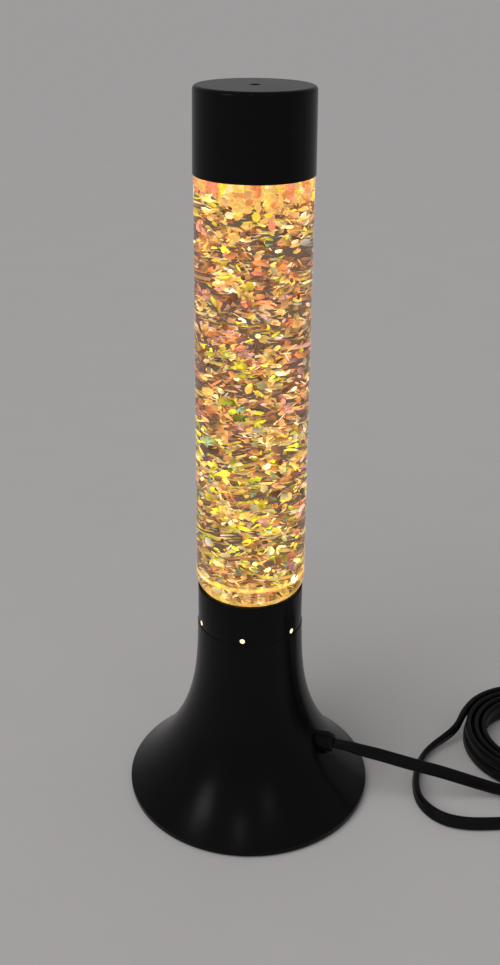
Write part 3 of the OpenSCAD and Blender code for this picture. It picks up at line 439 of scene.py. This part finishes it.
# The cores' insulation: smooth coloured PVC
wire_brown = grained("brown PVC insulation", "#4a2a18", "#5a3420", 4, (0.35, 0.5), 0.02)
wire_blue = grained("blue PVC insulation", "#1f4f94", "#2a60ab", 4, (0.35, 0.5), 0.02)
for node in ("holder_bracket", "bracket_screws", "threaded_nipple", "lock_nut"):
    shaded_copy(node, "base", "zinc_steel", zinc_steel)
for node in ("screw_shell", "centre_contact", "terminal_screws"):
    shaded_copy(node, "base", "brass", brass_sheet)
shaded_copy("lamp_holder", "base", "white_holder", holder_white)
shaded_copy("live_wire", "base", "brown_insulation", wire_brown)
shaded_copy("neutral_wire", "base", "blue_insulation", wire_blue)

# Cord gland
# A strain relief of the cord's own black PVC, pressed into the hood.
# It has a flange and a short tapered end that the cord runs through.
shaded_copy("strain_relief", "base", "black_cord", cord_pvc)

# Collar
# A ring of the same gloss ABS with a sleeve that goes into the neck.
# It carries the bottle, and small holes let the bulb's heat out.
lit_low, lit_high, lit_facing = 95.7, 102.7, 0.7
collar_ring = shaded_copy("collar", "base", "gloss_black_plastic", black_abs)
# The bulb lights the ring's inside under the bottle and the bores of its holes, which glow when seen from
# outside
collar_lit = grained(
    "black ABS in the bulb's light", "#2a2118", "#382c20", 6, (0.4, 0.5), 0.0,
    Emission_Color=tint("#ffe2b4"), Emission_Strength=1.6,
)
collar_ring.data.materials.append(collar_lit)


def of_faces(mesh, what):
    """The middle or the normal of each face of a mesh, as rows of x, y and z."""
    rows = np.zeros(3 * len(mesh.polygons))
    mesh.polygons.foreach_get(what, rows)
    return rows.reshape(-1, 3)


middles, normals = of_faces(collar_ring.data, "center") * 1000, of_faces(collar_ring.data, "normal")
facing_out = (normals[:, :2] * middles[:, :2]).sum(1) / np.hypot(middles[:, 0], middles[:, 1])
lit = (middles[:, 2] > lit_low) & (middles[:, 2] < lit_high) & (facing_out < lit_facing)
collar_ring.data.polygons.foreach_set("material_index", lit.astype(np.int32))

# Bulb
# A small reflector bulb: blown glass with a frosted face that glows warm, on a screw cap of pressed
# aluminium. It screws into the holder's shell, and its soldered tip meets the contact.
bulb_hot, bulb_rim = 2, 18
# Frosted glass: lit from behind, brightest in front of the filament and warmer towards its rim
bulb_lit = grained(
    "frosted lit glass", "#fff0d0", "#ffe2b0", 2, (0.5, 0.6), 0.01, Emission_Color=tint("#ffd092")
)
bulb_where = add(bulb_lit, "ShaderNodeTexCoord").outputs["Object"]
bulb_flat = add(bulb_lit, "ShaderNodeVectorMath", {0: bulb_where, 1: (1, 1, 0)}, operation="MULTIPLY")
bulb_reach = add(bulb_lit, "ShaderNodeVectorMath", {0: bulb_flat.outputs[0]}, operation="LENGTH")
bulb_glow = add(bulb_lit, "ShaderNodeMapRange", {
    "Value": bulb_reach.outputs["Value"], "From Min": bulb_hot / 1000, "From Max": bulb_rim / 1000,
    "To Min": 3.0, "To Max": 0.55,
}, interpolation_type="SMOOTHSTEP")
feed(bulb_lit, "Emission Strength", bulb_glow.outputs[0])
# Pressed aluminium: pale, with a soft shine
cap_aluminium = grained("pressed aluminium", "#b9b9b6", "#cacac8", 1.5, (0.3, 0.45), 0.01, Metallic=1.0)
# Solder that set in a drop: grey and dull
solder = grained("dull solder", "#8f9092", "#a5a6a7", 1, (0.4, 0.55), 0.03, Metallic=1.0)
# The insulator is cast from black glass, and shines
black_glass = grained("black cast glass", "#0a0a0b", "#111112", 2, (0.1, 0.18), 0.01)
# Drawn glass rod: clear and smooth
stem_glass = grained(
    "clear glass rod", "#e8ecec", "#f2f4f4", 5, (0.03, 0.06), 0.0, Transmission_Weight=1.0
)
# White-hot wire: it shows only its own light
filament_hot = grained(
    "glowing tungsten wire", "#fff2d8", "#ffe0b0", 1, (0.5, 0.6), 0.0,
    Emission_Color=tint("#ffe6bd"), Emission_Strength=6.0,
)
shaded_copy("bulb_tip", "bulb_foot", "solder", solder)
shaded_copy("bulb_insulator", "bulb_foot", "black_glass", black_glass)
shaded_copy("bulb_screw_cap", "bulb", "bulb_aluminium", cap_aluminium)
shaded_copy("bulb_glass", "bulb", "frosted_glass", bulb_lit)
shaded_copy("bulb_stem", "bulb", "stem_glass", stem_glass)
shaded_copy("bulb_filament", "bulb", "filament_wire", filament_hot)

# Bottle
# Blown clear glass with a rounded heel, a spigot that stands in the collar, and a neck that the cap hides.
# It lifts out of the collar.
glass_r, spigot_r, seat_z, heel_z, cap_z = 26.0, 23.05, 105.0, 122.4, 313.2
spigot_round, heel_drop, brim_round, lip_round = 2, 7, 1, 1
throat_r, throat_top, mouth_r, mouth_top, arch_h = 24.25, 325.2, 14, 343.2, 8
bore_r, foot_r, floor_z, floor_round, heel_inside = 24.2, 21.25, 108, 2, 5.2
bore_top, slope_top, throat_bore, mouth_bore, arch_inside = 309.6, 311.4, 22.45, 12, 6.2
bottle_sides, wall_rows, heel_lit_top = 160, 12, 141
outer_profile = np.vstack([
    [[0, seat_z]],
    arc(spigot_r - spigot_round, seat_z + spigot_round, spigot_round, spigot_round, -90, 0, 8),
    arc(spigot_r, heel_z, glass_r - spigot_r, heel_drop, -90, 0, 20),
    [[glass_r, z] for z in np.linspace(heel_z + 1, cap_z - 2, wall_rows)],
    arc(glass_r - brim_round, cap_z - brim_round, brim_round, brim_round, 0, 90, 6),
    [[throat_r, cap_z], [throat_r, throat_top]],
    arc(mouth_r, throat_top, throat_r - mouth_r, arch_h, 10, 80, 10),
    [[mouth_r, throat_top + arch_h], [mouth_r, mouth_top - lip_round]],
    arc(mouth_r - lip_round, mouth_top, lip_round, lip_round, 0, 180, 9),
])


def inner_profile(gap, top):
    """The bottle's inside, a gap in from the glass, from its floor up to a height."""
    return np.vstack([
        [[0, floor_z + gap]],
        arc(foot_r - floor_round - gap, floor_z + floor_round + gap, floor_round, floor_round, -90, 0, 8),
        arc(foot_r - gap, heel_z, bore_r - foot_r, heel_inside - gap, -90, 0, 20),
        [[bore_r - gap, z] for z in np.linspace(heel_z + 1, bore_top - gap, wall_rows)],
        [[throat_bore - gap, slope_top - gap], [throat_bore - gap, top]],
    ])


inner_wall = np.vstack([
    inner_profile(0, throat_top),
    arc(mouth_bore, throat_top, throat_bore - mouth_bore, arch_inside, 10, 80, 10),
    [[mouth_bore, throat_top + arch_inside], [mouth_bore, mouth_top]],
])
bottle_profile = np.vstack([outer_profile, inner_wall[::-1]])
bottle_points, bottle_quads = lathe(bottle_profile, bottle_sides, closed=False)


def by_height(material, levels, strengths):
    """A number that goes from the first strength at the first level in mm to the second at the second one."""
    where = add(material, "ShaderNodeTexCoord").outputs["Object"]
    height = add(material, "ShaderNodeSeparateXYZ", {"Vector": where}).outputs["Z"]
    return add(material, "ShaderNodeMapRange", {
        "Value": height, "From Min": levels[0] / 1000, "From Max": levels[1] / 1000,
        "To Min": strengths[0], "To Max": strengths[1],
    }, interpolation_type="SMOOTHSTEP").outputs[0]


# Soda glass: clear and polished by the fire. The bulb's light runs in the wall and shows along its edges,
# most at the heel
clear = {"Base_Color": tint("#ffffff"), "Roughness": 0.0, "Transmission_Weight": 1.0}
bottle_glass = surface("clear soda glass", IOR=1.45, Emission_Color=tint("#ffbf6a"), **clear)
edge = add(bottle_glass, "ShaderNodeLayerWeight", {"Blend": 0.25}).outputs["Facing"]
edge_glow = add(bottle_glass, "ShaderNodeMapRange", {"Value": edge, "From Min": 0.6, "To Max": 1.0})
glow = add(bottle_glass, "ShaderNodeMath", {
    0: edge_glow.outputs[0], 1: by_height(bottle_glass, (116, 139), (1.1, 0.3)),
}, operation="MULTIPLY")
feed(bottle_glass, "Emission Strength", glow.outputs[0])
# Where the liquid wets the glass the boundary doesn't show, so the inner face bends no light
wetted_glass = surface("wetted glass face", IOR=1.0, **clear)
# The glass floor and the inside of the heel stand over the bulb and glow with its light, and so does a ring
# just above them
heel_glass = surface("glass floor lit by the bulb", IOR=1.0, Emission_Color=tint("#ffd15e"), **clear)
heel_glow = add(heel_glass, "ShaderNodeMath", {
    0: by_height(heel_glass, (108, 109.2), (0.2, 0.9)), 1: by_height(heel_glass, (109.8, 122), (0.8, 0.0)),
}, operation="MULTIPLY")
heel_ring = add(heel_glass, "ShaderNodeMath", {
    0: by_height(heel_glass, (122.5, 123.8), (0, 0.75)), 1: by_height(heel_glass, (124.4, 125.8), (1, 0)),
}, operation="MULTIPLY")
heel_light = add(
    heel_glass, "ShaderNodeMath", {0: heel_glow.outputs[0], 1: heel_ring.outputs[0]}, operation="ADD"
)
feed(heel_glass, "Emission Strength", heel_light.outputs[0])
# The outside is plain glass. The inside runs down from the mouth, wetted, and its lowest rows are the lit
# heel
bottle_row = np.arange(len(bottle_quads)) // bottle_sides
inside_face = np.where(bottle_profile[bottle_row, 1] < heel_lit_top, 2, 1)
piece(
    "bottle_blown", "bottle", "clear_glass", [bottle_glass, wetted_glass, heel_glass],
    bottle_points, bottle_quads, ("bottle",),
    face_slots=np.where(bottle_row < len(outer_profile), 0, inside_face),
)

# Liquid
# A clear filling with a warm tint. It fills the bottle from its floor to a little below the neck's arch,
# where the cap hides its level.
liquid_top, liquid_gap = 321.2, 0.05
# Clear tinted liquid: it only colours what is seen through it
liquid_tinted = surface(
    "clear tinted liquid", Base_Color=tint("#b0927a"), Roughness=0.0, IOR=1.0, Transmission_Weight=1.0
)
liquid_profile = np.vstack([inner_profile(liquid_gap, liquid_top), [[0, liquid_top]]])
piece(
    "liquid_fill", "bottle", "clear_liquid", [liquid_tinted], *lathe(liquid_profile, 128, closed=False),
    ("glitter_liquid",),
)

# Glitter flakes
# Thousands of six-sided flakes cut from metallised foil, a little curled. Most drift in the liquid and turn
# with its eddies, some cling to the glass under the cap, and some have settled in the heel of the bottle.
drifting, clinging, settled = 4400, 950, 300
flake_count = drifting + clinging + settled
foil_t, foil_least, foil_most, foil_curl = 0.06, 1.3, 2.6, 0.08
drift_low, drift_high, eddy_r = 121, 312, 23
band_low, band_top, band_h, band_thin = 306.3, 312.5, 6.2, 3.1
heap_low, heap_high, heap_r = 109.2, 118.5, 18.6
wall_room, throat_room, throat_low = 23.9, 22.2, 307
band_r, band_taper, taper_low = 22.35, 0.25, 306
corner_turns = np.arange(6) * np.pi / 3
chance = np.random.default_rng(17)
kind = np.repeat([0, 1, 2], [drifting, clinging, settled])


def by_kind(*values):
    """For each flake the value of its kind: drifting, clinging or settled."""
    return np.choose(kind, values)


def eddies(place, length, seed):
    """A smooth uneven number of about -2 to 2 at each place in mm: 30 cosine waves of about a length in mm,
    running in random directions, added up."""
    waves = np.random.default_rng(seed)
    ways = waves.normal(0, 2 * np.pi / length / np.sqrt(3), (30, 3))
    return np.cos(place @ ways.T + waves.uniform(0, 2 * np.pi, 30)).sum(1) / np.sqrt(15)


def gathered(count, tries):
    """Angle, share of the way out and height in mm of drifting flakes, drawn closer together in some
    eddies."""
    around, out = chance.uniform(0, 2 * np.pi, tries), np.sqrt(chance.uniform(0, 1, tries))
    height = chance.uniform(drift_low, drift_high, tries)
    place = np.column_stack([eddy_r * out * np.cos(around), eddy_r * out * np.sin(around), height])
    kept = np.flatnonzero(chance.uniform(0, 1, tries) < 0.5 + 0.3 * eddies(place, 15, 3))[:count]
    return around[kept], out[kept], height[kept]


def foil_pieces():
    """Each flake is a flattened hexagon of radius 1.3 to 2.6 mm and 0.06 mm thick, curled by height = k x^2,
    spun in its own plane, leaned from level and faced to a side. Drifting ones lean and face much as their
    neighbours in an eddy do, settled ones lie more or less level, and clinging ones stand against the wall,
    fewer and fewer downwards: depth = 3.1 ragged (-ln(1 - 0.98 u)), with u from 0 to 1 by chance."""
    n = flake_count
    size = chance.uniform(foil_least, foil_most, n)[:, None]
    curl = chance.normal(0, foil_curl, n)[:, None]
    x = size * np.cos(corner_turns)
    y = size * np.sin(corner_turns) * chance.uniform(0.35, 0.95, n)[:, None]
    z = curl * x**2
    faces_z = np.concatenate([z - foil_t / 2, z + foil_t / 2], 1)
    local = np.stack([np.concatenate([x, x], 1), np.concatenate([y, y], 1), faces_z], -1)
    around, spin = chance.uniform(0, 2 * np.pi, n), chance.uniform(0, 2 * np.pi, n)
    # Every flake draws a place of each kind, and the drifting ones are then gathered anew in the eddies
    out = by_kind(
        chance.uniform(0, 1, n), np.sqrt(chance.uniform(0.94, 1, n)), np.sqrt(chance.uniform(0, 1, n))
    )
    height = by_kind(
        chance.uniform(drift_low, drift_high, n), chance.uniform(band_low, band_top, n),
        chance.uniform(heap_low, heap_high, n),
    )
    around[:drifting], out[:drifting], height[:drifting] = gathered(drifting, 4 * drifting)
    rim = eddy_r * np.column_stack([np.cos(around), np.sin(around), 0 * around])
    ragged = np.maximum(1.3 + 0.7 * eddies(rim, 18, 24), 0.6)
    thinning = -np.log(1 - 0.98 * np.clip(band_top - height, 0, band_h) / band_h)
    height = np.where(kind == 1, band_top - band_thin * ragged * thinning, height)
    # Room in the bottle: the glass draws in under the cap
    room = np.where(height > throat_low, throat_room, wall_room) - size[:, 0]
    far = by_kind(room, band_r - band_taper * np.maximum(height - taper_low, 0), heap_r) * out
    place = np.column_stack([far * np.cos(around), far * np.sin(around), height])
    adrift = 0.75 * eddies(place, 20, 5) + chance.normal(0, 0.5, n)
    lean = by_kind(adrift, chance.normal(np.pi / 2, 0.3, n), chance.normal(0, 0.6, n))
    face = by_kind(2.5 * eddies(place, 26, 6) + chance.normal(0, 0.7, n), around + np.pi / 2, spin)
    cl, sl, cf, sf = np.cos(lean), np.sin(lean), np.cos(face), np.sin(face)
    cs, ss = np.cos(spin), np.sin(spin)
    zero, one = np.zeros(n), np.ones(n)
    spun = np.stack([cs, -ss, zero, ss, cs, zero, zero, zero, one], -1).reshape(n, 3, 3)
    leaned = np.stack([one, zero, zero, zero, cl, -sl, zero, sl, cl], -1).reshape(n, 3, 3)
    faced = np.stack([cf, -sf, zero, sf, cf, zero, zero, zero, one], -1).reshape(n, 3, 3)
    points = np.einsum("nij,nkj->nki", faced @ leaned @ spun, local) + place[:, None]
    ring = np.arange(6)
    sides = np.column_stack([ring, (ring + 1) % 6, (ring + 1) % 6 + 6, ring + 6])
    flats = np.array([[0, 5, 4, 3], [0, 3, 2, 1], [6, 7, 8, 9], [6, 9, 10, 11]])
    quads = np.vstack([sides, flats])[None] + 12 * np.arange(n)[:, None, None]
    return points.reshape(-1, 3), quads.reshape(-1, 4), place, lean, out


flake_points, flake_quads, flake_place, flake_lean, flake_out = foil_pieces()
flake_x, flake_y, flake_z = flake_place.T
flake_mesh = bpy.data.meshes.new("foil_flakes")
flake_mesh.from_pydata(flake_points / 1000, [], flake_quads.tolist())
# Iridescent, silver and gold foil, from green to pink, with the share of each kind of flake; the two browns,
# #a77551 and #79604c, are foil in painted shade. Flakes in one eddy turn much the same way, so their
# colours lie close together, and they are a little pinker towards the top
foil_tones_and_painted_shade = np.array([tint(c)[:3] for c in (
    "#85b7a0", "#c4dc46", "#ece64c", "#eeeec1", "#f3fffe", "#e2c677", "#cba777", "#a77551", "#79604c",
    "#d3925a", "#e59a84", "#d9afab", "#c4a5c4",
)])
foil_share = np.array([
    [1, 5, 11, 14, 2, 18, 17, 11, 8, 9, 2, 4, 1],
    [0, 0, 8, 6, 0, 56, 10, 0, 0, 12, 8, 0, 0],
    [0, 1, 9, 14, 3, 32, 15, 9, 3, 10, 2, 2, 0],
], float)
hue_rise, hue_mid, hue_half = 0.28, 216, 95
hue = eddies(flake_place * by_kind(1, 2, 1)[:, None], 16, 8) + chance.normal(0, 0.45, flake_count)
hue += hue_rise * (flake_z - hue_mid) / hue_half
pick = np.zeros(flake_count, int)
for number, share in enumerate(foil_share):
    mine = kind == number
    rank = hue[mine].argsort().argsort() / mine.sum()
    pick[mine] = np.searchsorted(np.cumsum(share) / share.sum(), rank, side="right")
# Painted shine: the bulb's light that a flake would mirror is painted into its colour, in drifts through the
# liquid. A drifting flake is painted brightest when it leans about 50 degrees, as then it would mirror the
# bulb below out to the side, and a little dimmer near the middle. Clinging flakes are painted bright and
# settled ones dim, and each is painted brighter on one side than on the other, a painted shade across it
best_lean, lean_spread = 0.85, 0.35
painted_shine_drift = np.sin(flake_z / 9 + flake_x / 6) * np.sin(flake_z / 17 - flake_y / 9)
painted_lean_shine = 0.55 + 0.75 * np.exp(-(((np.abs(flake_lean) - best_lean) / lean_spread) ** 2))
painted_shine = np.clip(chance.normal(0.95, 0.3, flake_count) + 0.25 * painted_shine_drift, 0.3, 1.5)
painted_shine = painted_shine * painted_lean_shine * (0.88 + 0.12 * flake_out**2)
painted_shine = by_kind(painted_shine, 1.06, chance.normal(0.6, 0.16, flake_count))
painted_lit_side = chance.uniform(0, 2 * np.pi, flake_count)[:, None]
painted_side_shade = 1 + by_kind(0.4, 0.1, 0.3)[:, None] * np.cos(np.tile(corner_turns, 2) - painted_lit_side)
# Each corner's foil colour is the flake's tone times its painted shine and its painted side shade
foil = foil_tones_and_painted_shade[pick][:, None] * painted_shine[:, None, None] * painted_side_shade[..., None]
foil = np.concatenate([foil, np.ones((flake_count, 12, 1))], -1).astype(np.float32)
flake_mesh.attributes.new("foil", "FLOAT_COLOR", "POINT").data.foreach_set("color", foil.ravel())
# Metallised polyester foil. The bulb's light that it would mirror is painted in: it glows in its own colour
# times its painted shine, so that each flake has its own colour and painted brightness
foil_with_painted_glow = surface("metallised polyester foil", Metallic=0.6, Roughness=0.3, Emission_Strength=1.43)
foil_colour_and_painted_glow = add(foil_with_painted_glow, "ShaderNodeAttribute", attribute_name="foil").outputs["Color"]
feed(foil_with_painted_glow, "Base Color", foil_colour_and_painted_glow)
feed(foil_with_painted_glow, "Emission Color", foil_colour_and_painted_glow)
flake_mesh.materials.append(foil_with_painted_glow)
foil_flakes = in_scene("foil_flakes", flake_mesh)
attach(foil_flakes, "bottle")
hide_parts("glitter_flakes")

# Closure
# A white polypropylene screw closure over a foam seal keeps the liquid in.
# The cap hides both.

# Moulded polypropylene: off-white and satin
closure_pp = grained("white polypropylene", "#c9c9c4", "#d6d6d2", 2, (0.4, 0.5), 0.02)
# Cut foam sheet: dull, with cells of 0.6 mm
seal_foam = grained("polyethylene foam", "#bdbdb8", "#d0d0cb", 0.6, (0.8, 0.9), 0.05)
shaded_copy("closure_seal", "bottle", "seal_foam", seal_foam)
shaded_copy("bottle_closure", "bottle", "closure_plastic", closure_pp)

# Cap
# A cup of the same gloss black ABS, narrowing a little upwards, with a small hole in its top.
# It stands over the bottle's neck and lifts off.
cap_top, cap_r, cap_bore, cap_wall, cap_round = 349.8, 26.1, 24.6, 1.8, 1.8
cap_foot_r, foot_round, hole_r, hole_round = 26.4, 0.3, 2.1, 0.5
# A point close to a rounded edge holds the shading of the face beside it
cap_profile = np.vstack([
    [[cap_bore, cap_z], [glass_r, cap_z]],
    arc(cap_foot_r - foot_round, cap_z + foot_round, foot_round, foot_round, -90, 0, 4),
    [[26.39, cap_z + 0.6], [cap_r, cap_top - 2.1]],
    arc(cap_r - cap_round, cap_top - cap_round, cap_round, cap_round, 0, 90, 12),
    [[24.0, cap_top], [3.0, cap_top], [hole_r + hole_round, cap_top]],
    arc(hole_r + hole_round, cap_top - hole_round, hole_round, hole_round, 90, 180, 5),
    [[hole_r, cap_top - cap_wall], [cap_bore - 1, cap_top - cap_wall], [cap_bore, cap_top - cap_wall - 1]],
])
piece("cap_cup", "cap", "gloss_black_plastic", [black_abs], *lathe(cap_profile, 192), ("cap",))

# Floor
# A plain pale sheet of paper that the lamp stands on, wide enough to fill the picture.
# It is no part of the lamp.
floor_mesh = bpy.data.meshes.new("floor")
floor_points, floor_quads = lathe([[r, 0] for r in (0, 400, 2000, 30000)], 64, closed=False)
floor_mesh.from_pydata(floor_points / 1000, [], floor_quads[:, ::-1].tolist())
# Matt paper: an even pale grey that mirrors almost nothing
floor_paper = grained(
    "pale matt paper", "#adabaa", "#b1afae", 60, (0.8, 0.85), 0.0, Specular_IOR_Level=0.1
)
floor_mesh.materials.append(floor_paper)
floor = in_scene("floor", floor_mesh)


# Studio light
# One wide soft light from the upper left, which gloss doesn't mirror, under an even pale sky.
# Three small soft panels in front put the faint highlights on the gloss black parts.
def light_up(name, kind, towards, away, power, **settings):
    """A light that stands a distance away in a direction, and shines back along it at the lamp's foot."""
    lamp = bpy.data.lights.new(name, kind)
    lamp.energy = power
    for setting, value in settings.items():
        setattr(lamp, setting, value)
    back = np.array(towards) / np.linalg.norm(towards)
    side = np.cross([0, 0, 1], back)
    side /= np.linalg.norm(side)
    made = in_scene(name, lamp)
    made.matrix_world = placed(side, np.cross(back, side), back, away * back)
    return made


panel_away = 1.5
key = light_up("key_light", "SUN", (-0.5, -0.45, 0.8), 2, 1.9, angle=np.radians(55))
key.visible_glossy = False
light_up("left_panel", "AREA", (-0.665, -0.54, 0.516), panel_away, 1.1, size=0.34)
light_up("right_panel", "AREA", (0.339, -0.768, 0.544), panel_away, 0.2, size=0.28)
light_up("front_panel", "AREA", (-0.113, -0.718, 0.687), panel_away, 0.2, size=0.14)
# What is seen of the sky, straight, in gloss or through glass, is a plain grey, a little darker than its
# light
sky_light, sky_seen = 0.38, 0.33
sky = bpy.data.worlds.new("studio_sky")
sky.use_nodes = True
sky_dome = sky.node_tree.nodes["Background"]
sky_dome.inputs["Color"].default_value = tint("#f4f2f4")
seen = add(sky, "ShaderNodeLightPath").outputs
in_gloss = add(sky, "ShaderNodeMath", {
    0: seen["Is Glossy Ray"], 1: seen["Is Transmission Ray"],
}, operation="MAXIMUM")
in_sight = add(sky, "ShaderNodeMath", {
    0: seen["Is Camera Ray"], 1: in_gloss.outputs[0],
}, operation="MAXIMUM")
sky_level = add(sky, "ShaderNodeMapRange", {
    "Value": in_sight.outputs[0], "To Min": sky_light, "To Max": sky_seen,
})
sky.node_tree.links.new(sky_level.outputs[0], sky_dome.inputs["Strength"])
bpy.context.scene.world = sky
bpy.context.scene.view_settings.view_transform = "Standard"
